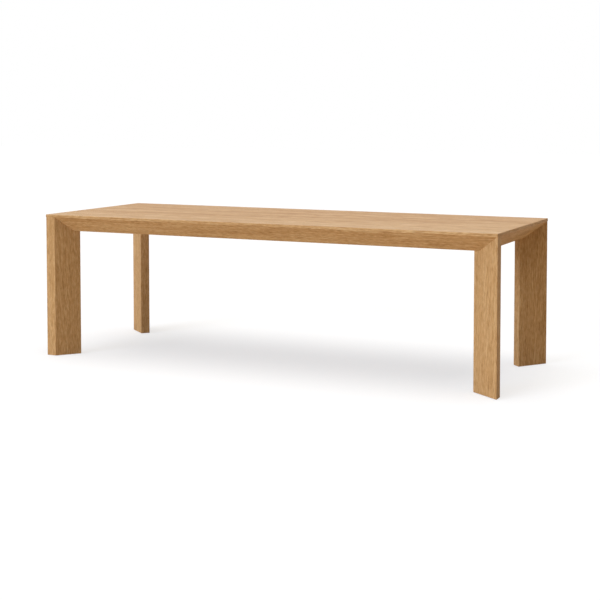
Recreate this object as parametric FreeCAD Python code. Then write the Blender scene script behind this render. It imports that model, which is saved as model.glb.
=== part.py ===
import FreeCAD, Part
import math
import os

# Dining table in oak. Sizes are millimetres, +Z is up, -Y is the front, and the origin is on the
# floor under the middle of the top.

# Overall size
table_length = 2460.0
table_width = 900.0
table_height = 750.0

# Top: a core board under a face veneer, lipped all round with solid oak
panel_thickness = 22.0
veneer_thickness = 1.0
lipping_width = 32.0
lip_height = 13.0          # upright lip above the undercut
edge_depth = 90.0          # top surface down to the lower edge of the aprons
arris = 2.0                # rounding of the edges that hands and shoes meet

# Legs: four boards alike, one stood in each corner and turned by a quarter from one corner to the next.
# The outer end of a board is flush with one side of the table, from the corner on.
leg_width = 177.0          # from the corner to the inner end, along the diagonal
leg_thickness = 50.0       # at the inner end
leg_face = 56.0            # breadth of the flush outer end
foot_gap = 2.0             # floor up to the underside of a leg
housing_clearance = 0.2    # round a leg's top in its housing

# Aprons and rails below the panel
apron_thickness = 20.0
apron_land = 3.0           # flat underside of an apron in front of its rail
rail_thickness = 20.0
leg_stand_in = 2.0         # a leg's inner end stands in past the rails by this much
cross_rail_height = 60.0
cross_rail_thickness = 22.0
cross_rail_spacing = 600.0

# Dowels in the ends of the cross rails
dowel_diameter = 8.0
dowel_half_length = 15.0
dowel_edge = 15.0          # from the cross rail's upper and lower edges
dowel_clearance = 0.05
dowel_end_room = 1.0

# Corner blocks and the bolts that draw the legs against them
block_thickness = 40.0
block_rise = 8.0           # the block ends this far above the lower edge of the rails
bolt_diameter = 8.0
bolt_grip = 50.0           # length in the leg
bolt_point = 4.0
bolt_spare = 3.0           # past the nut
bolt_edge = 13.0           # from the block's upper and lower edges
bolt_clearance = 0.1
block_bore = 9.0
washer_diameter = 16.0
washer_thickness = 1.6
nut_across_flats = 13.0
nut_height = 6.5
nut_clearance = 0.05

# Wood screws
screw_diameter = 4.5
screw_head_diameter = 9.0
screw_head_height = 3.0
screw_point = 4.0
screw_clearance = 0.05
head_clearance = 0.5
block_screw_in_rail = 16.0
block_screw_in_block = 14.0
block_screw_from_back = 17.0    # from the block's back to where a screw leaves its end
block_screw_edge = 15.0         # from the block's upper and lower edges
top_screw_in_panel = 12.0
top_screw_in_rail = 28.0
top_screw_end_margin = 250.0
cross_screw_end_margin = 130.0

# Levelling feet
pad_diameter = 30.0
pad_thickness = 4.0
pad_bevel = 1.0
pad_clearance = 0.5         # round a pad in its recess
stem_diameter = 8.0
stem_height = 26.0          # floor of the pad's socket up to the stem's end
stem_socket = 2.5           # depth of the stem in the pad
stem_clearance = 0.05
stem_end_room = 3.0
insert_diameter = 12.0
insert_length = 15.0
insert_clearance = 0.05
leveller_from_corner = 54.0    # from the table's corner, along the diagonal
leveller_from_end = 36.0       # from the leg's inner end

root_two = math.sqrt(2.0)
up = FreeCAD.Vector(0, 0, 1)
origin = FreeCAD.Vector(0, 0, 0)

# Heights of the levels that several pieces share
lip_underside = table_height - lip_height
panel_underside = table_height - panel_thickness
apron_underside = table_height - edge_depth
block_underside = apron_underside + block_rise
cross_rail_underside = panel_underside - cross_rail_height
recess_floor = pad_thickness
stem_seat = pad_thickness - stem_socket
bolt_levels = (panel_underside - bolt_edge, block_underside + bolt_edge)
block_screw_levels = (panel_underside - block_screw_edge, block_underside + block_screw_edge)
dowel_levels = (panel_underside - dowel_edge, cross_rail_underside + dowel_edge)

# Plan distances in from the outer edge of the top
leg_near = (leg_width - leg_thickness / 2) / root_two         # a leg's inner corner from the nearer side
leg_far = (leg_width + leg_thickness / 2) / root_two          # and from the side that it faces
rail_inner = leg_near - leg_stand_in
rail_outer = rail_inner - rail_thickness
undercut_inset = rail_outer - apron_land
undercut_run = undercut_inset / (edge_depth - lip_height)     # inward for each millimetre down
bevel_inset = (panel_thickness - lip_height) * undercut_run   # at the underside of the panel
rail_middle = (rail_inner + rail_outer) / 2

# Distances along the diagonal from the corner, and half widths of the corner block behind a leg
leg_end = leg_width
leg_reach = leg_face / root_two                               # the outer end, along and across the diagonal
block_back = leg_end + block_thickness
block_front_half = leg_thickness / 2 + leg_stand_in * root_two
block_back_half = block_front_half + block_thickness

# Levelling feet stand in the middle of a board, which leans from the diagonal towards its outer end
leg_narrowing = (leg_reach - leg_thickness / 2) / (leg_width - leg_reach)
leveller_places = {}
for place, along in (("outer", leveller_from_corner), ("inner", leg_width - leveller_from_end)):
    left_edge = along * leg_thickness / 2 / leg_width
    right_edge = -leg_reach + (along - leg_reach) * leg_narrowing
    leveller_places[place] = (along, (left_edge + right_edge) / 2)

# Places of the cross rails along X, and lengths of the screws under their heads
cross_rail_places = {"left": -cross_rail_spacing, "middle": 0.0, "right": cross_rail_spacing}
block_screw_length = block_screw_in_block + block_screw_in_rail
top_screw_length = top_screw_in_rail + top_screw_in_panel

# The four sides, in order of quarter turns from the front
sides = ("front", "right", "back", "left")

# The four corners, as signs of X and Y
corners = {
    "front_left": (-1, -1),
    "front_right": (1, -1),
    "back_right": (1, 1),
    "back_left": (-1, 1),
}


def closed_wire(points):
    return Part.makePolygon([FreeCAD.Vector(*point) for point in points + points[:1]])


def prism(points, travel):
    return Part.Face(closed_wire(points)).extrude(FreeCAD.Vector(*travel))


def grown(plan, margin):
    # A convex plan with every edge moved out by the margin
    points = [FreeCAD.Vector(x, y, 0) for x, y in plan]
    moved = []
    for before, point, after in zip(points[-1:] + points[:-1], points, points[1:] + points[:1]):
        first = (point - before).cross(up).normalize()
        second = (after - point).cross(up).normalize()
        spot = point + (first + second) * (margin / (1 + first.dot(second)))
        moved.append((spot.x, spot.y))
    return moved


def plan_block(points, low, high):
    return prism([(x, y, low) for x, y in points], (0, 0, high - low))


def rod(diameter, start, direction, length):
    return Part.makeCylinder(diameter / 2, length, FreeCAD.Vector(*start), FreeCAD.Vector(*direction))


def turned(shape, degrees):
    shape = shape.copy()
    shape.rotate(origin, up, degrees)
    return shape


def side_size(side):
    # Length of the side's edge, and how far it stands from the middle of the table
    if side in ("front", "back"):
        return table_length, table_width / 2
    return table_width, table_length / 2


def at_side(shape, side):
    # From the front side's frame, round to the side
    return turned(shape, math.degrees(sides.index(side) * math.pi / 2))


def at_corner(shape, corner):
    # A leg's own frame has X along the diagonal from the table's corner, Y across it and Z up
    sign_x, sign_y = corners[corner]
    shape = turned(shape, math.degrees(math.atan2(-sign_y, -sign_x)))
    shape.translate(FreeCAD.Vector(sign_x * table_length / 2, sign_y * table_width / 2, 0))
    return shape


def pointed_rod(diameter, length, point_length):
    # Shank from the origin up, with its point on top
    shank = rod(diameter, (0, 0, 0), (0, 0, 1), length - point_length)
    point = Part.makeCone(diameter / 2, diameter / 8, point_length, up * (length - point_length))
    return shank.fuse(point).removeSplitter()


def aimed(shape, start, direction):
    shape = shape.copy()
    turn = FreeCAD.Rotation(up, FreeCAD.Vector(*direction))
    shape.Placement = FreeCAD.Placement(FreeCAD.Vector(*start), turn)
    return shape


def wood_screw(length):
    # The underside of the head is at the origin, and the point goes up
    head = rod(screw_head_diameter, (0, 0, -screw_head_height), (0, 0, 1), screw_head_height)
    crown = [edge for edge in head.Edges if edge.BoundBox.ZMax < -screw_head_height / 2]
    head = head.makeFillet(screw_head_height / 3, crown)
    return head.fuse(pointed_rod(screw_diameter, length, screw_point)).removeSplitter()


def screw_bore(length, access):
    # Room for a screw: a pilot for its shank and a wider bore back to where it is driven from
    pilot = rod(screw_diameter + 2 * screw_clearance, (0, 0, 0), (0, 0, 1), length + screw_clearance)
    mouth = rod(screw_head_diameter + 2 * head_clearance, (0, 0, -access), (0, 0, 1), access)
    return pilot.fuse(mouth)


# Legs and what is bolted or screwed into them, in the leg's own frame

def leg_blank(clearance):
    # A board that starts at the table's corner, with its outer end along one side
    half = leg_thickness / 2
    plan = [(0, 0), (leg_reach, -leg_reach), (leg_width, -half), (leg_width, half)]
    return plan_block(grown(plan, clearance), foot_gap, lip_underside)


def leg():
    # A board eased on its upright and lower edges, bored for its bolts and for two levelling feet
    blank = leg_blank(0)
    eased = [edge for edge in blank.Edges if edge.BoundBox.ZMin < lip_underside - arris]
    board = blank.makeFillet(arris, eased)
    bolt_bore = bolt_diameter + 2 * bolt_clearance
    for level in bolt_levels:
        board = board.cut(rod(bolt_bore, (leg_end, 0, level), (-1, 0, 0), bolt_grip + bolt_clearance))
    for place in leveller_places.values():
        bores = (
            (pad_diameter + 2 * pad_clearance, recess_floor),
            (insert_diameter + 2 * insert_clearance, recess_floor + insert_length),
            (stem_diameter + 2 * pad_clearance, stem_seat + stem_height + stem_end_room),
        )
        for diameter, top in bores:
            board = board.cut(rod(diameter, (*place, 0), (0, 0, 1), top))
    return board


def corner_block():
    # A trapezium in plan: its long sides bear on the rails at 45 degrees, its short side on the leg
    plan = [(leg_end, -block_front_half), (block_back, -block_back_half),
            (block_back, block_back_half), (leg_end, block_front_half)]
    block = plan_block(plan, block_underside, panel_underside)
    for level in bolt_levels:
        block = block.cut(rod(block_bore, (leg_end, 0, level), (1, 0, 0), block_thickness))
    for bore in block_screws(screw_bore(block_screw_length, block_thickness)):
        block = block.cut(bore)
    return block


def block_screws(shape):
    # Two for each end of the block, square to the rail that the end bears on
    end_x = block_back - block_screw_from_back
    end_y = block_back_half - block_screw_from_back
    back_off = block_screw_in_block / root_two
    places = []
    for side in (-1, 1):
        for level in block_screw_levels:
            start = (end_x + back_off, side * (end_y - back_off), level)
            places.append(aimed(shape, start, (-1, side, 0)))
    return places


def hanger_bolts():
    length = bolt_grip + block_thickness + washer_thickness + nut_height + bolt_spare
    bolt = pointed_rod(bolt_diameter, length, bolt_point)
    return [aimed(bolt, (leg_end - bolt_grip + length, 0, level), (-1, 0, 0)) for level in bolt_levels]


def bolt_washers():
    ring = rod(washer_diameter, (0, 0, 0), (0, 0, 1), washer_thickness)
    ring = ring.cut(rod(bolt_diameter + 2 * bolt_clearance, (0, 0, 0), (0, 0, 1), washer_thickness))
    return [aimed(ring, (block_back, 0, level), (1, 0, 0)) for level in bolt_levels]


def bolt_nuts():
    reach = nut_across_flats / 2 / math.cos(math.pi / 6)
    angles = [step * math.pi / 3 for step in range(6)]
    hexagon = [(reach * math.cos(angle), reach * math.sin(angle)) for angle in angles]
    nut = plan_block(hexagon, 0, nut_height)
    nut = nut.cut(rod(bolt_diameter + 2 * nut_clearance, (0, 0, 0), (0, 0, 1), nut_height))
    return [aimed(nut, (block_back + washer_thickness, 0, level), (1, 0, 0)) for level in bolt_levels]


def leveller_insert(place):
    start = (*place, recess_floor)
    sleeve = rod(insert_diameter, start, (0, 0, 1), insert_length)
    return sleeve.cut(rod(stem_diameter + 2 * stem_clearance, start, (0, 0, 1), insert_length))


def leveller_stem(place):
    return rod(stem_diameter, (*place, stem_seat), (0, 0, 1), stem_height)


def leveller_pad(place):
    disc = rod(pad_diameter, (*place, 0), (0, 0, 1), pad_thickness)
    lower_edge = [edge for edge in disc.Edges if edge.BoundBox.ZMax < pad_thickness / 2]
    disc = disc.makeChamfer(pad_bevel, lower_edge)
    return disc.cut(rod(stem_diameter + 2 * stem_clearance, (*place, stem_seat), (0, 0, 1), stem_socket))


# Top panel

def rectangle(inset):
    # Plan of the top, set in from its edge
    half_x = table_length / 2 - inset
    half_y = table_width / 2 - inset
    return [(-half_x, -half_y), (half_x, -half_y), (half_x, half_y), (-half_x, half_y)]


def top_envelope():
    # The whole panel: an upright lip over a bevelled underside, housed for the four legs
    lip = plan_block(rectangle(0), lip_underside, table_height)
    eased = [edge for edge in lip.Edges if edge.BoundBox.ZMax > lip_underside + arris]
    lip = lip.makeFillet(arris, eased)
    wide = closed_wire([(x, y, lip_underside) for x, y in rectangle(0)])
    narrow = closed_wire([(x, y, panel_underside) for x, y in rectangle(bevel_inset)])
    bevel = Part.makeLoft([wide, narrow], True, True)
    for corner in corners:
        bevel = bevel.cut(at_corner(leg_blank(housing_clearance), corner))
    return lip.fuse(bevel).removeSplitter()


def lipping_region(side):
    # A strip along the side below the veneer, mitred at both ends
    run, stand = side_size(side)
    half = run / 2
    points = [(-half, -stand), (half, -stand), (half - lipping_width, -stand + lipping_width),
              (-half + lipping_width, -stand + lipping_width)]
    return at_side(plan_block(points, panel_underside, table_height - veneer_thickness), side)


def core_region():
    return plan_block(rectangle(lipping_width), panel_underside, table_height - veneer_thickness)


def veneer_region():
    return plan_block(rectangle(0), table_height - veneer_thickness, table_height)


# Aprons and rails, in the front side's frame and then turned to their side

def edge_board(section, side):
    # A section in (inward, height) carried along the whole side
    run, stand = side_size(side)
    return prism([(-run / 2, -stand + inward, level) for inward, level in section], (run, 0, 0))


def between_legs(side):
    # The space below the panel between the wide faces of the two legs at the side's ends. The leg at its
    # left end shows its flush face on this side, and the leg at its right end shows none.
    run, stand = side_size(side)
    left = -run / 2 + leg_face
    right = run / 2
    inner_left = left + rail_inner * (leg_far - leg_face) / leg_near
    inner_right = right - rail_inner * leg_far / leg_near
    points = [(left, -stand), (right, -stand), (inner_right, -stand + rail_inner),
              (inner_left, -stand + rail_inner)]
    return plan_block(points, apron_underside, panel_underside)


def apron(side):
    # A sloping board: its top edge under the panel, its back bevelled to stand against the rail
    run, stand = side_size(side)
    slope = math.atan2(1.0, undercut_run)
    breadth = apron_thickness / math.sin(slope)
    meets_rail = panel_underside - (rail_outer - bevel_inset - breadth) / undercut_run
    section = [(bevel_inset, panel_underside), (bevel_inset + breadth, panel_underside),
               (rail_outer, meets_rail), (rail_outer, apron_underside), (undercut_inset, apron_underside)]
    blank = edge_board(section, side)
    lower_edge = [edge for edge in blank.Edges
                  if edge.BoundBox.XLength > run / 2
                  and edge.BoundBox.ZMax < apron_underside + arris
                  and edge.BoundBox.YMax < -stand + undercut_inset + arris]
    return at_side(blank.makeFillet(arris, lower_edge).common(between_legs(side)), side)


def inner_rail(side):
    section = [(rail_outer, panel_underside), (rail_inner, panel_underside),
               (rail_inner, apron_underside), (rail_outer, apron_underside)]
    return at_side(edge_board(section, side).common(between_legs(side)), side)


def cross_rail(centre_x):
    reach = table_width / 2 - rail_inner
    return Part.makeBox(cross_rail_thickness, 2 * reach, cross_rail_height,
                        FreeCAD.Vector(centre_x - cross_rail_thickness / 2, -reach, cross_rail_underside))


def dowels(diameter, half_length):
    seam = table_width / 2 - rail_inner
    return [rod(diameter, (centre_x, sign * seam - half_length, level), (0, 1, 0), 2 * half_length)
            for centre_x in cross_rail_places.values() for sign in (-1, 1) for level in dowel_levels]


def top_screw_places():
    # Along the long rails between the cross rails and near the ends, along the short rails, and
    # near both ends of each cross rail
    rail_y = table_width / 2 - rail_middle
    rail_x = table_length / 2 - rail_middle
    end_x = rail_x - top_screw_end_margin
    end_y = rail_y - top_screw_end_margin
    cross_y = table_width / 2 - rail_inner - cross_screw_end_margin
    between = cross_rail_spacing / 2
    places = []
    for sign in (-1, 1):
        places += [(x, sign * rail_y) for x in (-end_x, -between, between, end_x)]
        places += [(sign * rail_x, y) for y in (-end_y, end_y)]
        places += [(x, sign * cross_y) for x in cross_rail_places.values()]
    return places


def top_screws(shape):
    seat = panel_underside - top_screw_in_rail
    return [aimed(shape, (x, y, seat), (0, 0, 1)) for x, y in top_screw_places()]


def drilled(shape, bores):
    for bore in bores:
        if shape.BoundBox.intersect(bore.BoundBox):
            shape = shape.cut(bore)
    return shape


def everywhere(pieces):
    return [at_corner(piece, corner) for corner in corners for piece in pieces]


# Assembly

nodes = {}

top_bores = top_screws(screw_bore(top_screw_length, edge_depth))
block_bores = everywhere(block_screws(screw_bore(block_screw_length, block_thickness)))
dowel_bores = dowels(dowel_diameter + 2 * dowel_clearance, dowel_half_length + dowel_end_room)

envelope = top_envelope()
nodes["top_veneer"] = envelope.common(veneer_region())
nodes["top_core"] = drilled(envelope.common(core_region()), top_bores)
for side in sides:
    nodes["lipping_" + side] = envelope.common(lipping_region(side))
    nodes["apron_" + side] = apron(side)
    nodes["inner_rail_" + side] = drilled(inner_rail(side), top_bores + block_bores + dowel_bores)

for place, centre_x in cross_rail_places.items():
    nodes["cross_rail_" + place] = drilled(cross_rail(centre_x), top_bores + dowel_bores)
nodes["cross_rail_dowels"] = Part.makeCompound(dowels(dowel_diameter, dowel_half_length))
nodes["top_screws"] = Part.makeCompound(top_screws(wood_screw(top_screw_length)))

for corner in corners:
    nodes["leg_" + corner] = at_corner(leg(), corner)
    nodes["corner_block_" + corner] = at_corner(corner_block(), corner)
    for place, spot in leveller_places.items():
        nodes["leveller_stem_" + corner + "_" + place] = at_corner(leveller_stem(spot), corner)
        nodes["leveller_pad_" + corner + "_" + place] = at_corner(leveller_pad(spot), corner)

inserts = [leveller_insert(spot) for spot in leveller_places.values()]
nodes["leveller_inserts"] = Part.makeCompound(everywhere(inserts))
nodes["hanger_bolts"] = Part.makeCompound(everywhere(hanger_bolts()))
nodes["bolt_washers"] = Part.makeCompound(everywhere(bolt_washers()))
nodes["bolt_nuts"] = Part.makeCompound(everywhere(bolt_nuts()))
block_screw = wood_screw(block_screw_length)
nodes["corner_block_screws"] = Part.makeCompound(everywhere(block_screws(block_screw)))

os.makedirs("parts", exist_ok=True)
for name, shape in nodes.items():
    shape.exportStep("parts/" + name + ".step")
    print(name, len(shape.Solids), "solids", round(shape.Volume / 1000.0, 1), "cm3")
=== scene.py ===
import functools
import math
import bpy
import numpy as np
from mathutils import Matrix, Vector


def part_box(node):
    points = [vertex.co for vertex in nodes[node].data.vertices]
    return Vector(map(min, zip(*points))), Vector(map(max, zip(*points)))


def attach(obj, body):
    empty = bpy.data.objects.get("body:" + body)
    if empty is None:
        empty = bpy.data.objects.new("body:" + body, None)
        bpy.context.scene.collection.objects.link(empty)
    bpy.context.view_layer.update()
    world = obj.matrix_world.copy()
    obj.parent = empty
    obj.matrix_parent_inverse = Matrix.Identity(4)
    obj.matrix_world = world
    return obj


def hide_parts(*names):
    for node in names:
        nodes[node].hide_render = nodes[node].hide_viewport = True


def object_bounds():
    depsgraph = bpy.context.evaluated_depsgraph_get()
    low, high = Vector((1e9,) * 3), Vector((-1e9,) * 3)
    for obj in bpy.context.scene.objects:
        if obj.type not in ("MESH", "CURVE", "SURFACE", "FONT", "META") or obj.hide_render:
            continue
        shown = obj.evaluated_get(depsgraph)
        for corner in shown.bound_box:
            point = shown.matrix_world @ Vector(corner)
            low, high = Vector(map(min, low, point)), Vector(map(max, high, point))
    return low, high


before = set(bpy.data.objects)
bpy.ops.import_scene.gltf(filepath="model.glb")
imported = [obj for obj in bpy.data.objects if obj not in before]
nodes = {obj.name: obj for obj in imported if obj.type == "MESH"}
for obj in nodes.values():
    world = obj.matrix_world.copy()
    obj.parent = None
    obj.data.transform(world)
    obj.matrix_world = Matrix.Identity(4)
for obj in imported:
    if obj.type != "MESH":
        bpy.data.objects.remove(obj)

cadBox = [list(corner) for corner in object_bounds()]
scene = bpy.context.scene
millimetre = 0.001
sides = ("front", "right", "back", "left")
corners = {"front_left": (-1, -1), "front_right": (1, -1), "back_right": (1, 1), "back_left": (-1, 1)}
print("table loaded:", len(nodes), "nodes")


def toLinear(hexColour):
    # an sRGB channel c becomes c / 12.92 up to 0.04045, and ((c + 0.055) / 1.055) ** 2.4 above it
    channels = np.array([int(hexColour[i:i + 2], 16) for i in (1, 3, 5)]) / 255
    linear = np.where(channels <= 0.04045, channels / 12.92, ((channels + 0.055) / 1.055) ** 2.4)
    return (*linear.tolist(), 1.0)


def addNode(tree, kind, inputs=None, ramp=None, **settings):
    # one shader node: settings are its own properties, inputs are socket values or links, ramp its stops
    node = tree.nodes.new("ShaderNode" + kind)
    for name, value in settings.items():
        setattr(node, name, value)
    for socket, value in (inputs or {}).items():
        if isinstance(value, bpy.types.NodeSocket):
            tree.links.new(value, node.inputs[socket])
        else:
            node.inputs[socket].default_value = value
    for number, (position, colour) in enumerate(ramp or ()):
        stops = node.color_ramp.elements
        stop = stops[number] if number < 2 else stops.new(position)
        stop.position = position
        stop.color = colour
    return node


def newMaterial(name):
    # an empty node tree, and addNode tied to it
    material = bpy.data.materials.new(name)
    material.use_nodes = True
    material.node_tree.nodes.clear()
    return material, functools.partial(addNode, material.node_tree)


def dress(material, *names):
    # gives CAD nodes a material
    for name in names:
        for slot in nodes[name].material_slots:
            slot.material = material


def middleOf(name):
    # the middle of a node's box, in metres
    low, high = np.array(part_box(name))
    return ((low + high) / 2).tolist()


# Oak under a matt oil is a warm mid brown with hardly any shine. Bands and streaks run along its grain, with
# short flecks and dark open pores between them. Pattern sizes are millimetres: length along the grain,
# width across it, and octaves of noise.
oak = {
    "pale": "#cca572", "middle": "#b98d5a", "dark": "#9a6d3d", "pore": "#704b26",
    "toneRange": (0.3, 0.7),     # tones where the wood is wholly pale and wholly dark
    "ringWidth": 6.0,            # real rings are 2 to 4 mm, drawn coarser so that they show
    "ringShape": [(0.0, 0.85), (0.22, 0.75), (0.42, 0.25), (0.85, 0.3), (1.0, 0.6)],    # place, darkness
    "patterns": {
        "wander": (420, 60, 1),
        "band": (700, 30, 2),
        "streak": (170, 8, 3),
        "fleck": (22, 6.5, 2),
        "fibre": (40, 1.4, 2),
        "pore": (9, 0.6, 1),     # real pores are 0.3 mm wide, drawn twice as wide
        "dash": (26, 1.8, 0),    # lines of pores, drawn as broad dashes so that they show
    },
    "wanderSize": 30,
    "logSize": 5000,             # leaves and boards are drawn from places up to this far apart
    "poreFrom": 0.55, "poreSoft": 0.1, "poreDepth": 0.6,
    "dashFrom": 0.64, "dashSoft": 0.06, "dashDepth": 0.45,
    "roughness": (0.42, 0.58), "ior": 1.5, "bump": 0.12, "bumpStrength": 0.5,
}


def woodFinish(name, wood, board):
    # A board sawn from a log: a ring is a distance from the log's heart, which leans and wanders along
    # the grain, so flat faces show arches, edges show straight lines and ends show the rings themselves
    material, add = newMaterial(name)
    grain, across = Vector(board["grain"]), Vector(board["across"])
    turn = Matrix((grain, across, grain.cross(across))).transposed().to_euler()
    spot = add("Mapping", {"Vector": add("TexCoord").outputs["Object"], "Location": board["centre"],
                           "Rotation": turn, "Scale": (millimetre,) * 3}, vector_type="TEXTURE")
    along, aside, inward = add("SeparateXYZ", {0: spot.outputs[0]}).outputs

    # leaves laid side by side each come from another place in the log
    leaf = add("Math", {0: aside, 1: 1 / board["leafWidth"], 2: 0.5}, operation="MULTIPLY_ADD").outputs[0]
    leaf = add("Math", {0: leaf}, operation="FLOOR").outputs[0]
    drawn = add("Math", {0: leaf, 1: board["seed"]}, operation="ADD").outputs[0]
    drawn = add("TexWhiteNoise", {"W": drawn}, noise_dimensions="1D").outputs["Color"]
    drawnPlace, drawnTone = add("SeparateColor", {0: drawn}).outputs[:2]
    aside = add("Math", {0: leaf, 1: -board["leafWidth"], 2: aside}, operation="MULTIPLY_ADD").outputs[0]
    own = add("VectorMath", {0: drawn, 1: (wood["logSize"],) * 3, 2: spot.outputs[0]},
              operation="MULTIPLY_ADD").outputs[0]

    # noise drawn out along the grain; what follows the first pattern waves with it
    noise = {}
    wander = (0, wood["wanderSize"], wood["wanderSize"])
    for kind, (length, width, octaves) in wood["patterns"].items():
        stretch = (1 / (length * board["drawnOut"]), 1 / width, 1 / width)
        stretched = add("VectorMath", {0: own, 1: stretch}, operation="MULTIPLY").outputs[0]
        noise[kind] = add("TexNoise", {"Vector": stretched, "Scale": 1.0, "Detail": octaves})
        if kind == "wander":
            own = add("VectorMath", {0: noise[kind].outputs["Color"], 1: wander, 2: own},
                      operation="MULTIPLY_ADD").outputs[0]

    # distance from the heart in millimetres, then the place within one ring, from 0 to 1
    aside = add("Math", {0: drawnPlace, 1: board["heartSpread"], 2: aside},
                operation="MULTIPLY_ADD").outputs[0]
    inward = add("Math", {0: along, 1: board["lean"], 2: inward}, operation="MULTIPLY_ADD").outputs[0]
    inward = add("Math", {0: inward, 1: board["heartDepth"]}, operation="ADD").outputs[0]
    fromHeart = add("CombineXYZ", {1: aside, 2: inward}).outputs[0]
    fromHeart = add("VectorMath", {0: noise["wander"].outputs["Color"], 1: wander, 2: fromHeart},
                    operation="MULTIPLY_ADD").outputs[0]
    radius = add("VectorMath", {0: fromHeart}, operation="LENGTH").outputs["Value"]
    ring = add("Math", {0: radius, 1: wood["ringWidth"]}, operation="DIVIDE").outputs[0]
    ring = add("Math", {0: ring}, operation="FRACT").outputs[0]
    shade = {kind: texture.outputs["Fac"] for kind, texture in noise.items()}
    ringStops = [(at, (darkness, darkness, darkness, 1)) for at, darkness in wood["ringShape"]]
    shade["ring"] = add("ValToRGB", {0: ring}, ringStops).outputs[0]

    # The patterns added up make a tone round the middle one, with a small step from leaf to leaf. Each
    # pattern is about a half on average, and so is a leaf's draw, so half of their range is taken off.
    palest, darkest = wood["toneRange"]
    middleTone = (palest + darkest) / 2
    # darker shifts a whole board's tone; on the back right leg it is painted shade
    lowest = middleTone + board["darker"] - 0.5 * board["contrast"] - 0.5 * board["leafStep"]
    tone = add("Math", {0: drawnTone, 1: board["leafStep"], 2: lowest}, operation="MULTIPLY_ADD").outputs[0]
    # on the top each leaf is a step darker than the one in front of it: a painted sheen, lighter at the front
    # of the top and darker at its back
    tone = add("Math", {0: leaf, 1: board["paintedSheenDrift"], 2: tone}, operation="MULTIPLY_ADD").outputs[0]
    for kind, weight in board["weights"].items():
        tone = add("Math", {0: shade[kind], 1: weight * board["contrast"], 2: tone},
                   operation="MULTIPLY_ADD").outputs[0]
    stops = [(palest, wood["pale"]), (middleTone, wood["middle"]), (darkest, wood["dark"])]
    colour = add("ValToRGB", {0: tone}, [(at, toLinear(hexColour)) for at, hexColour in stops]).outputs[0]

    # pores lie in the dark early part of each ring, and a few longer dashes lie anywhere
    pore = add("MapRange", {"Value": shade["pore"], "From Min": wood["poreFrom"],
                            "From Max": wood["poreFrom"] + wood["poreSoft"],
                            "To Max": wood["poreDepth"]}).outputs[0]
    pore = add("Math", {0: pore, 1: shade["ring"]}, operation="MULTIPLY").outputs[0]
    dash = add("MapRange", {"Value": shade["dash"], "From Min": wood["dashFrom"],
                            "From Max": wood["dashFrom"] + wood["dashSoft"],
                            "To Max": wood["dashDepth"]}).outputs[0]
    pore = add("Math", {0: pore, 1: dash}, operation="MAXIMUM").outputs[0]
    colour = add("Mix", {"Factor": pore, 6: colour, 7: toLinear(wood["pore"])}, data_type="RGBA").outputs[2]

    smooth, rough = wood["roughness"]
    roughness = add("MapRange", {"Value": tone, "From Min": palest, "From Max": darkest, "To Min": smooth,
                                 "To Max": rough}).outputs[0]
    height = add("Math", {0: pore, 1: -1.0, 2: shade["fibre"]}, operation="MULTIPLY_ADD").outputs[0]
    bump = add("Bump", {"Height": height, "Strength": wood["bumpStrength"],
                        "Distance": wood["bump"] * millimetre}).outputs[0]
    surface = add("BsdfPrincipled", {"Base Color": colour, "Roughness": roughness, "Normal": bump,
                                     "IOR": wood["ior"], "Specular IOR Level": board["gloss"]})
    add("OutputMaterial", {0: surface.outputs[0]})
    return material


# Top: flat oak veneer laid in leaves along the table. Widths and depths are millimetres: the log's heart lies
# heartDepth behind a face and up to heartSpread aside, and leans along the grain. drawnOut stretches the
# patterns along the grain, and the weights, which add up to 1, say how much each one darkens the wood.
# The top's leaves darken one step each towards the back: a painted sheen, lighter at the front and darker at
# the back.
topVeneer = {"grain": (1, 0, 0), "across": (0, 1, 0), "leafWidth": 118, "heartSpread": 60, "heartDepth": 95,
             "lean": 0.018, "leafStep": 0.08, "paintedSheenDrift": 0.012, "drawnOut": 2.4, "contrast": 1.9,
             "gloss": 0.2, "darker": 0.0, "seed": 3.0,
             "weights": {"ring": 0.16, "band": 0.28, "streak": 0.22, "fleck": 0.2, "fibre": 0.14}}
dress(woodFinish("oakTopVeneer", oak, {**topVeneer, "centre": middleOf("top_veneer")}), "top_veneer")
backing = {**topVeneer, "seed": 41.0, "centre": middleOf("top_core")}
dress(woodFinish("oakBackingVeneer", oak, backing), "top_core")

# Edges: each side's lipping and apron are cut from one board, so no seam shows between them
edgeBoards = {"leafWidth": 4000, "heartSpread": 30, "heartDepth": 70, "lean": 0.02, "leafStep": 0.0,
              "paintedSheenDrift": 0.0, "drawnOut": 1.2, "contrast": 1.35, "gloss": 0.05, "darker": 0.0,
              "seed": 7.0, "seedStep": 2.3,
              "weights": {"ring": 0.08, "band": 0.2, "streak": 0.24, "fleck": 0.36, "fibre": 0.12}}
undercutSlope = math.radians(43.0)    # from level, of the sloping face
for number, side in enumerate(sides):
    turned = Matrix.Rotation(number * math.pi / 2, 3, "Z")
    acrossSlope = Vector((0, math.cos(undercutSlope), -math.sin(undercutSlope)))
    board = {**edgeBoards, "grain": turned @ Vector((1, 0, 0)), "across": turned @ acrossSlope,
             "centre": middleOf("lipping_" + side),
             "seed": edgeBoards["seed"] + edgeBoards["seedStep"] * number}
    dress(woodFinish("oakEdge_" + side, oak, board), "lipping_" + side, "apron_" + side)

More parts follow.
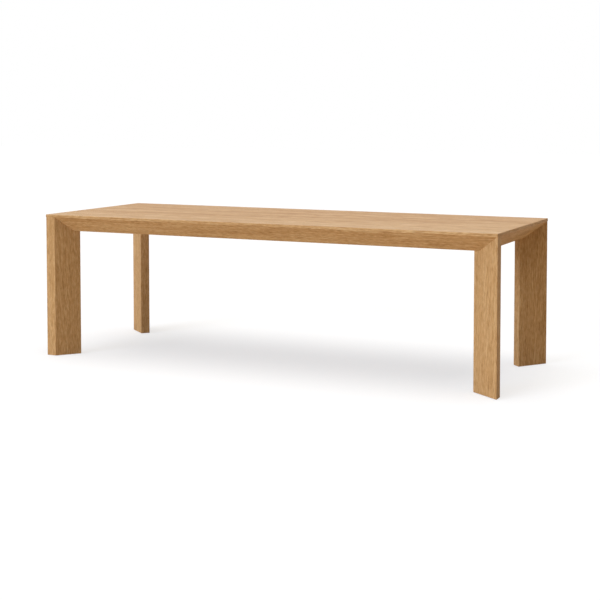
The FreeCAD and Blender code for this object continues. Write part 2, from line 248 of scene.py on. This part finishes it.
# Legs: upright boards on the diagonals of the corners, each a little different in tone; the back right one is
# darkest, a painted shade for the shade it stands in under the top
legBoards = {"grain": (0, 0, 1), "leafWidth": 4000, "heartSpread": 50, "heartDepth": 85, "lean": 0.03,
             "leafStep": 0.0, "paintedSheenDrift": 0.0, "drawnOut": 1.3, "contrast": 1.2, "gloss": 0.04,
             "seed": 21.0, "seedStep": 1.7,
             "weights": {"ring": 0.08, "band": 0.12, "streak": 0.22, "fleck": 0.36, "fibre": 0.22}}
legToneAndPaintedShade = {"front_left": 0.0, "front_right": -0.015, "back_right": 0.03, "back_left": -0.02}
for number, (corner, (right, back)) in enumerate(corners.items()):
    board = {**legBoards, "across": Vector((-right, -back, 0)).normalized(), "darker": legToneAndPaintedShade[corner],
             "centre": middleOf("leg_" + corner),
             "seed": legBoards["seed"] + legBoards["seedStep"] * number}
    dress(woodFinish("oakLeg_" + corner, oak, board), "leg_" + corner)
print("oak done")

# Framing under the top, out of sight in a room: straight pale poplar, left sawn and sanded
poplar = {**oak, "pale": "#d8c49c", "middle": "#c8b084", "dark": "#ad9366", "pore": "#8d7148",
          "poreDepth": 0.3, "dashDepth": 0.15, "roughness": (0.6, 0.75)}
railBoards = {"centre": (0, 0, 0), "leafWidth": 4000, "heartSpread": 40, "heartDepth": 60, "lean": 0.02,
              "leafStep": 0.0, "paintedSheenDrift": 0.0, "drawnOut": 1.0, "contrast": 1.2, "gloss": 0.1,
              "darker": 0.0, "weights": topVeneer["weights"]}
longRails = {**railBoards, "grain": (1, 0, 0), "across": (0, 0, 1), "seed": 51.0}
dress(woodFinish("poplarLongRails", poplar, longRails), "inner_rail_front", "inner_rail_back")
shortRails = {**railBoards, "grain": (0, 1, 0), "across": (0, 0, 1), "seed": 53.0}
dress(woodFinish("poplarShortRails", poplar, shortRails), "inner_rail_left", "inner_rail_right",
      "cross_rail_left", "cross_rail_middle", "cross_rail_right")

# Corner blocks and dowels: pinkish beech, close and even, with short dark flecks
beech = {**oak, "pale": "#d6b08a", "middle": "#c59a72", "dark": "#aa7c54", "pore": "#84583a",
         "dashFrom": 0.66, "poreDepth": 0.15, "roughness": (0.5, 0.62)}
beechBoards = {**railBoards, "lean": 0.05, "seed": 61.0, "seedStep": 1.3}
for number, (corner, (right, back)) in enumerate(corners.items()):
    board = {**beechBoards, "grain": Vector((-back, right, 0)).normalized(), "across": (0, 0, 1),
             "centre": middleOf("corner_block_" + corner),
             "seed": beechBoards["seed"] + beechBoards["seedStep"] * number}
    dress(woodFinish("beechBlock_" + corner, beech, board), "corner_block_" + corner)
dowelStock = {**beechBoards, "grain": (0, 1, 0), "across": (0, 0, 1)}
dress(woodFinish("beechDowels", beech, dowelStock), "cross_rail_dowels")
print("framing done")


def mottledFinish(name, look):
    # cloudy patches of the colours, and a finer grit that roughens the shine and the face; the ranges are
    # where most of the noise lies
    patchRange, gritRange = (0.35, 0.65), (0.3, 0.7)
    material, add = newMaterial(name)
    spot = add("TexCoord").outputs["Object"]
    patch = add("TexNoise", {"Vector": spot, "Scale": 1 / (look["patch"] * millimetre), "Detail": 3.0})
    grit = add("TexNoise", {"Vector": spot, "Scale": 1 / (look["grit"] * millimetre), "Detail": 1.0})
    places = np.linspace(*patchRange, len(look["colours"])).tolist()
    stops = [(at, toLinear(hexColour)) for at, hexColour in zip(places, look["colours"])]
    colour = add("ValToRGB", {0: patch.outputs["Fac"]}, stops).outputs[0]
    smooth, rough = look["roughness"]
    roughness = add("MapRange", {"Value": grit.outputs["Fac"], "From Min": gritRange[0],
                                 "From Max": gritRange[1], "To Min": smooth, "To Max": rough}).outputs[0]
    bump = add("Bump", {"Height": grit.outputs["Fac"], "Distance": look["bump"] * millimetre}).outputs[0]
    surface = add("BsdfPrincipled", {"Base Color": colour, "Roughness": roughness, "Normal": bump,
                                     "Metallic": look["metallic"], "IOR": look["ior"]})
    add("OutputMaterial", {0: surface.outputs[0]})
    return material


# Zinc plate on steel is bright and slightly cloudy, with a faint yellow cast; moulded nylon is a dull
# near-black with a fine pebble. The pebble is drawn twice its real size, so that it shows.
zincSteel = mottledFinish("zincPlatedSteel", {
    "colours": ("#c3c6c9", "#b0b1ae", "#bab49f"), "patch": 9, "grit": 0.5, "roughness": (0.24, 0.42),
    "metallic": 1.0, "ior": 1.5, "bump": 0.01})
mouldedNylon = mottledFinish("mouldedNylon", {
    "colours": ("#26231f", "#332f2b", "#2b2825"), "patch": 6, "grit": 0.8, "roughness": (0.45, 0.62),
    "metallic": 0.0, "ior": 1.53, "bump": 0.03})
dress(zincSteel, "leveller_inserts")


def roundOf(count):
    # evenly spaced angles of one turn, as a row
    return np.linspace(0, 2 * math.pi, count, endpoint=False)[None, :]


def lathe(heights, radii, angle):
    # a profile carried round the Z axis: x is radius times cosine, y radius times sine, z the height
    heights, radii, angle = np.broadcast_arrays(heights, radii, angle)
    return np.stack([radii * np.cos(angle), radii * np.sin(angle), heights], axis=-1)


def ridge(heights, angle, pitch):
    # a right-hand thread, 0 in its root and 1 on its crest: it climbs one pitch in each turn
    return 1 - abs(2 * ((heights / pitch - angle / (2 * math.pi)) % 1) - 1)


def aimed(spot, axis):
    # a place in millimetres, and the turn that lays a piece's Z axis along the given one
    return np.array(spot), np.array(Vector(axis).to_track_quat("Z", "Y").to_matrix())


creaseAngle = math.radians(38)    # edges sharper than this stay crisp


def addPiece(name, body, replaced, material, grid, places, closed=False):
    # A grid of rows by columns, joined round its columns and copied to each place. Closed rows make a
    # ring; open ones end in a flat cap.
    rows, columns = grid.shape[:2]
    index = np.arange(rows * columns).reshape(rows, columns)
    loop = np.vstack([index, index[:1]]) if closed else index
    ahead = np.roll(loop, -1, axis=1)
    quads = np.stack([loop[:-1], ahead[:-1], ahead[1:], loop[1:]], axis=-1).reshape(-1, 4)
    copies = np.arange(len(places))[:, None, None] * rows * columns
    faces = (quads + copies).reshape(-1, 4).tolist()
    if not closed:
        caps = np.stack([index[0, ::-1], index[-1]])
        faces += (caps + copies).reshape(-1, columns).tolist()
    points = [grid.reshape(-1, 3) @ turn.T + spot for spot, turn in places]
    mesh = bpy.data.meshes.new(name)
    mesh.from_pydata(np.concatenate(points) * millimetre, [], faces)
    mesh.shade_smooth()
    mesh.set_sharp_from_angle(angle=creaseAngle)
    mesh.materials.append(material)
    piece = bpy.data.objects.new(name, mesh)
    scene.collection.objects.link(piece)
    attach(piece, body)
    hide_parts(replaced)


# Levelling feet: an M8 stem turned into the leg, and a nylon pad with a fluted rim for the fingers
foot = {"stem": 26, "crest": 3.98, "root": 3.35, "pitch": 1.25, "plain": 3, "chamfer": 0.9,
        "stemRows": 126, "stemSides": 20,
        "padHeight": 4, "padRadius": 15, "flutes": 20, "fluteDepth": 0.45, "fluteSides": 4, "dish": 0.5,
        "groove": 0.35, "socket": 4.05, "socketFloor": 1.5, "socketEdge": 0.3,
        "cap": 0.1}    # radius of the small cap that closes a face at its middle
heights = np.linspace(0, foot["stem"], foot["stemRows"])[:, None]
angle = roundOf(foot["stemSides"])
thread = ridge(heights, angle, foot["pitch"]) * (heights > foot["plain"])
fromEnd = np.minimum(heights, foot["stem"] - heights)
radii = np.minimum(foot["root"] + (foot["crest"] - foot["root"]) * thread,
                   foot["crest"] - foot["chamfer"] + fromEnd)
stemGrid = lathe(heights, radii, angle)

# A flute is a cosine wave round the rim. The pad's rows are height, radius and share of the flutes: from
# the dish under the pad, over the rim and a ring groove, down into the stem's socket.
angle = roundOf(foot["flutes"] * foot["fluteSides"])
flute = foot["fluteDepth"] * (0.5 - 0.5 * np.cos(foot["flutes"] * angle))
top, rim, dish, cap = foot["padHeight"], foot["padRadius"], foot["dish"], foot["cap"]
socket, socketFloor, socketEdge = foot["socket"], foot["socketFloor"], foot["socketEdge"]
groove = top - foot["groove"]
padRows = np.array([
    (dish, cap, 0), (dish, rim - 4.5, 0), (0.12, rim - 4, 0), (0, rim - 3.6, 0), (0, rim - 1.2, 0),
    (0.15, rim - 0.6, 0.4), (0.6, rim - 0.1, 1), (1.0, rim, 1), (top - 1.0, rim, 1),
    (top - 0.5, rim - 0.15, 1), (top - 0.12, rim - 0.6, 0.4), (top, rim - 1.2, 0), (top, 8.5, 0),
    (groove, 7.8, 0), (groove, 6.4, 0), (top, 5.8, 0), (top, socket + socketEdge, 0),
    (top - socketEdge, socket, 0), (socketFloor, socket, 0), (socketFloor, cap, 0)])
padGrid = lathe(padRows[:, 0:1], padRows[:, 1:2] - flute * padRows[:, 2:3], angle)

for corner in corners:
    for end in ("outer", "inner"):
        place = corner + "_" + end
        for kind, grid, slotName, material in (("stem", stemGrid, "zinc_steel", zincSteel),
                                               ("pad", padGrid, "nylon", mouldedNylon)):
            node = "leveller_" + kind + "_" + place
            spot = np.array(middleOf(node)) / millimetre
            spot[2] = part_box(node)[0][2] / millimetre
            addPiece("levelling_" + kind + "_" + place, "leveller_" + place, node, material,
                     grid, [aimed(spot, (0, 0, 1))])
print("levelling feet done")

# Leg fixings, two to a leg: a hanger bolt from the corner block into the leg, a washer and a nut.
# Places are in the leg's own frame, from the table's corner inward along the diagonal, and machineEnd and
# woodFrom are lengths from the nut's end of the bolt.
fixing = {"legEnd": 177, "block": 40, "levels": (715, 681), "point": 127, "length": 101.1,
          "crest": 3.98, "root": 3.35, "pitch": 1.25, "machineEnd": 47, "machineRows": 150, "chamfer": 0.9,
          "woodFrom": 51, "woodRoot": 2.7, "woodPitch": 3.0, "woodSharpness": 3, "woodRows": 100,
          "taper": 14, "blunt": 2, "boltSides": 14,
          "washerRadius": 8, "washerBore": 4.1, "washer": 1.6, "washerSides": 40,
          "nutFlats": 13, "nut": 6.5, "nutBore": 4.1, "nutEdge": 0.4, "nutFacing": 0.2, "nutCone": 30,
          "nutSides": 48}


def legSpot(right, back, along, aside, level):
    # from the table's corner: inward along the diagonal, aside to the left of that, and up from the floor
    inward, across = np.array((-right, -back)) / math.sqrt(2), np.array((back, -right)) / math.sqrt(2)
    tableCorner = np.array((right, back)) * cadBox[1][:2] / millimetre
    return np.array((*(tableCorner + inward * along + across * aside), level))


def fixingPlaces(along):
    # one place for each bolt of each leg, aimed inward
    return [aimed(legSpot(right, back, along, 0, level), (-right, -back, 0))
            for right, back in corners.values() for level in fixing["levels"]]


# from the point in the leg, which tapers, along the coarse wood thread and the plain neck to the nut end
angle = roundOf(fixing["boltSides"])
woodEnd = fixing["length"] - fixing["woodFrom"]
machineFrom = fixing["length"] - fixing["machineEnd"]
heights = np.concatenate([np.linspace(0, woodEnd, fixing["woodRows"]),
                          np.linspace(machineFrom, fixing["length"], fixing["machineRows"])])[:, None]
sharpness = np.clip((heights + fixing["blunt"]) / fixing["taper"], 0, 1)
woodRidge = ridge(heights, angle, fixing["woodPitch"]) ** fixing["woodSharpness"]
woodThread = fixing["woodRoot"] + (fixing["crest"] - fixing["woodRoot"]) * woodRidge
fineThread = fixing["root"] + (fixing["crest"] - fixing["root"]) * ridge(heights, angle, fixing["pitch"])
radii = np.where(heights < woodEnd, woodThread * sharpness, fineThread)
radii = np.minimum(radii, fixing["crest"] - fixing["chamfer"] + fixing["length"] - heights)
addPiece("leg_hanger_bolts", "table", "hanger_bolts", zincSteel, lathe(heights, radii, angle),
         fixingPlaces(fixing["point"]))

# a washer's rows are height and radius, with its stamped edges a little rounded
outer, bore, thick = fixing["washerRadius"], fixing["washerBore"], fixing["washer"]
washerRows = np.array([(0, bore + 0.1), (0, outer - 0.25), (0.25, outer), (thick - 0.15, outer),
                       (thick, outer - 0.2), (thick, bore + 0.15), (thick - 0.15, bore), (0.1, bore)])
addPiece("leg_bolt_washers", "table", "bolt_washers", zincSteel,
         lathe(washerRows[:, 0:1], washerRows[:, 1:2], roundOf(fixing["washerSides"])),
         fixingPlaces(fixing["legEnd"] + fixing["block"]), closed=True)

# the nut's side is a hexagon, half its flats over the cosine from the nearest flat, and a shallow cone takes
# its corners off at both ends
angle = roundOf(fixing["nutSides"])
hexagon = fixing["nutFlats"] / 2 / np.cos(angle % (math.pi / 3) - math.pi / 6)
facing = fixing["nutFlats"] / 2 - fixing["nutFacing"]
bore, thick, edge = fixing["nutBore"], fixing["nut"], fixing["nutEdge"]
coneDrop = (hexagon - facing) * math.tan(math.radians(fixing["nutCone"]))
flat = np.zeros_like(angle)
nutHeights = np.vstack([flat, flat, coneDrop, thick - coneDrop, flat + thick, flat + thick,
                        flat + thick - edge, flat + edge])
nutRadii = np.vstack([flat + bore + edge, flat + facing, hexagon, hexagon, flat + facing,
                      flat + bore + edge, flat + bore, flat + bore])
addPiece("leg_bolt_nuts", "table", "bolt_nuts", zincSteel, lathe(nutHeights, nutRadii, angle),
         fixingPlaces(fixing["legEnd"] + fixing["block"] + fixing["washer"]), closed=True)

# Wood screws: a pan head with a cross recess, a short plain neck, and a sharp coarse thread to the point
screw = {"headRadius": 4.5, "head": 3, "edge": 1.6, "recess": 2.5, "recessDepth": 1.7, "slotWidth": 1.1,
         "recessRise": 0.5,    # share of the recess's depth that is lost at the tip of a slot
         "crownRings": (0.15, 0.5, 0.8, 1.1, 1.4, 1.8, 2.2, 2.6, 3.0, 3.5, 4.0, 4.3, 4.45, 4.5),
         "crest": 2.24, "root": 1.5, "pitch": 2.2, "sharpness": 3, "plain": 4, "point": 7, "blunt": 0.4,
         "sides": 16, "rowsPerTurn": 6}


def screwGrid(length):
    # height 0 is under the head; the head is a flat dome, sunk by the cross where either slot passes
    angle = roundOf(screw["sides"])
    crown = np.array(screw["crownRings"])[:, None]
    dome = screw["edge"] - screw["edge"] * np.sqrt(1 - (crown / screw["headRadius"]) ** 2)
    nearest = np.minimum(abs(np.cos(angle)), abs(np.sin(angle))) * crown
    inSlot = (nearest < screw["slotWidth"] / 2) * (crown < screw["recess"])
    sunk = inSlot * screw["recessDepth"] * (1 - screw["recessRise"] * crown / screw["recess"])
    crownHeights = -screw["head"] + dome + sunk
    shank = np.linspace(0, length, int(length / screw["pitch"] * screw["rowsPerTurn"]))[:, None]
    thread = ridge(shank, angle, screw["pitch"]) ** screw["sharpness"] * (shank > screw["plain"])
    sharpness = np.clip((length + screw["blunt"] - shank) / screw["point"], 0, 1)
    shankRadii = (screw["root"] + (screw["crest"] - screw["root"]) * thread) * sharpness
    rim = np.full_like(angle, screw["headRadius"])
    heights = np.vstack([crownHeights, 0 * rim, shank + 0 * angle])
    radii = np.vstack([crown + 0 * angle, rim, shankRadii])
    return lathe(heights, radii, angle)


# block screws: each corner block has four, aimed square to the inner rails, near its upper and lower edges;
# along and aside say where a head sits
blockScrews = {"along": 209.9, "aside": 40.93, "levels": (713, 683), "length": 30}
places = []
for right, back in corners.values():
    for hand in (1, -1):
        axis = legSpot(right, back, -1, hand, 0) - legSpot(right, back, 0, 0, 0)
        places += [aimed(legSpot(right, back, blockScrews["along"], hand * blockScrews["aside"], level), axis)
                   for level in blockScrews["levels"]]
addPiece("corner_block_wood_screws", "table", "corner_block_screws", zincSteel,
         screwGrid(blockScrews["length"]), places)

# top screws: up through the inner rails and the cross rails into the core board
topScrews = {"level": 700, "length": 40, "fromRailEnd": 250, "fromCrossRailEnd": 130}
railX = middleOf("inner_rail_right")[0] / millimetre
railY = middleOf("inner_rail_back")[1] / millimetre
crossX = middleOf("cross_rail_right")[0] / millimetre
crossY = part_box("cross_rail_right")[1][1] / millimetre - topScrews["fromCrossRailEnd"]
endX, endY = railX - topScrews["fromRailEnd"], railY - topScrews["fromRailEnd"]
spots = [(x, railY) for x in (-endX, -crossX / 2, crossX / 2, endX)]
spots += [(x, endY) for x in (-railX, railX)] + [(x, crossY) for x in (-crossX, 0, crossX)]
places = [aimed((x, y * hand, topScrews["level"]), (0, 0, 1)) for x, y in spots for hand in (1, -1)]
addPiece("top_wood_screws", "table", "top_screws", zincSteel, screwGrid(topScrews["length"]),
         places)
print("hardware done")


# Floor and light. Levels are shares of the light that shows a white surface as white.
studio = {
    "floorSize": 60.0, "floorColour": "#dac8b0",
    "seenFloor": "#a2a09d", "floorGlow": 0.65,    # what the camera sees: part shaded paper, part plain white
    "backdrop": "#ffffff", "ambient": 0.08,
    "lamps": {
        "overheadBox": {"level": 0.86, "from": (-0.03, -0.06, 1.0), "spread": 58, "colour": "#ffffff"},
        "frontLeftBox": {"level": 1.37, "from": (-0.38, -0.92, 0.14), "spread": 40, "colour": "#d2e3ff"},
    },
}


def seenRays(add):
    # 1 where the camera, a reflection or a refraction looks, and 0 for the light on the table
    rays = add("LightPath").outputs
    seen = add("Math", {0: rays["Is Camera Ray"], 1: rays["Is Glossy Ray"]}, operation="MAXIMUM").outputs[0]
    return add("Math", {0: seen, 1: rays["Is Transmission Ray"]}, operation="MAXIMUM").outputs[0]


half = studio["floorSize"] / 2
floorMesh = bpy.data.meshes.new("floor")
floorCorners = [(-half, -half, 0), (half, -half, 0), (half, half, 0), (-half, half, 0)]
floorMesh.from_pydata(floorCorners, [], [(0, 1, 2, 3)])
floor = bpy.data.objects.new("floor", floorMesh)
scene.collection.objects.link(floor)
paper, add = newMaterial("whitePaperFloor")
plain = add("BsdfDiffuse", {"Color": toLinear(studio["floorColour"])}).outputs[0]
faint = add("BsdfDiffuse", {"Color": toLinear(studio["seenFloor"])}).outputs[0]
glow = add("Emission", {"Strength": studio["floorGlow"]}).outputs[0]
lit = add("AddShader", {0: faint, 1: glow}).outputs[0]
add("OutputMaterial", {0: add("MixShader", {0: seenRays(add), 1: plain, 2: lit}).outputs[0]})
floorMesh.materials.append(paper)

world = bpy.data.worlds.new("studio")
scene.world = world
world.use_nodes = True
world.node_tree.nodes.clear()
add = functools.partial(addNode, world.node_tree)
ambient = studio["ambient"]
strength = add("Math", {0: seenRays(add), 1: 1 - ambient, 2: ambient}, operation="MULTIPLY_ADD").outputs[0]
background = add("Background", {"Color": toLinear(studio["backdrop"]), "Strength": strength})
add("OutputWorld", {0: background.outputs[0]})

for name, softBox in studio["lamps"].items():
    lamp = bpy.data.lights.new(name, "SUN")
    lamp.energy = softBox["level"] * math.pi    # lights a white face that looks at the lamp to that level
    lamp.angle = math.radians(softBox["spread"])
    lamp.color = toLinear(softBox["colour"])[:3]
    lampObject = bpy.data.objects.new(name, lamp)
    lampObject.rotation_euler = Vector(softBox["from"]).to_track_quat("Z", "Y").to_euler()
    scene.collection.objects.link(lampObject)
print("floor and light done")

# Camera at the photograph's angle; focalPixels and axisRow belong to a picture 600 pixels wide
cameraView = {"place": (2.8199, -5.8945, 1.3050), "turnLeft": 25.22, "lookDown": 3.0,
              "imageWidth": 600, "focalPixels": 1261.9, "axisRow": 175.4, "sensorWidth": 36}
lens = bpy.data.cameras.new("camera")
lens.sensor_width = cameraView["sensorWidth"]
lens.lens = lens.sensor_width * cameraView["focalPixels"] / cameraView["imageWidth"]
lens.shift_y = cameraView["axisRow"] / cameraView["imageWidth"] - 0.5
camera = bpy.data.objects.new("camera", lens)
camera.location = cameraView["place"]
camera.rotation_euler = (math.radians(90 - cameraView["lookDown"]), 0, math.radians(cameraView["turnLeft"]))
scene.collection.objects.link(camera)
scene.camera = camera
scene.view_settings.view_transform = "Standard"

print("scene done")
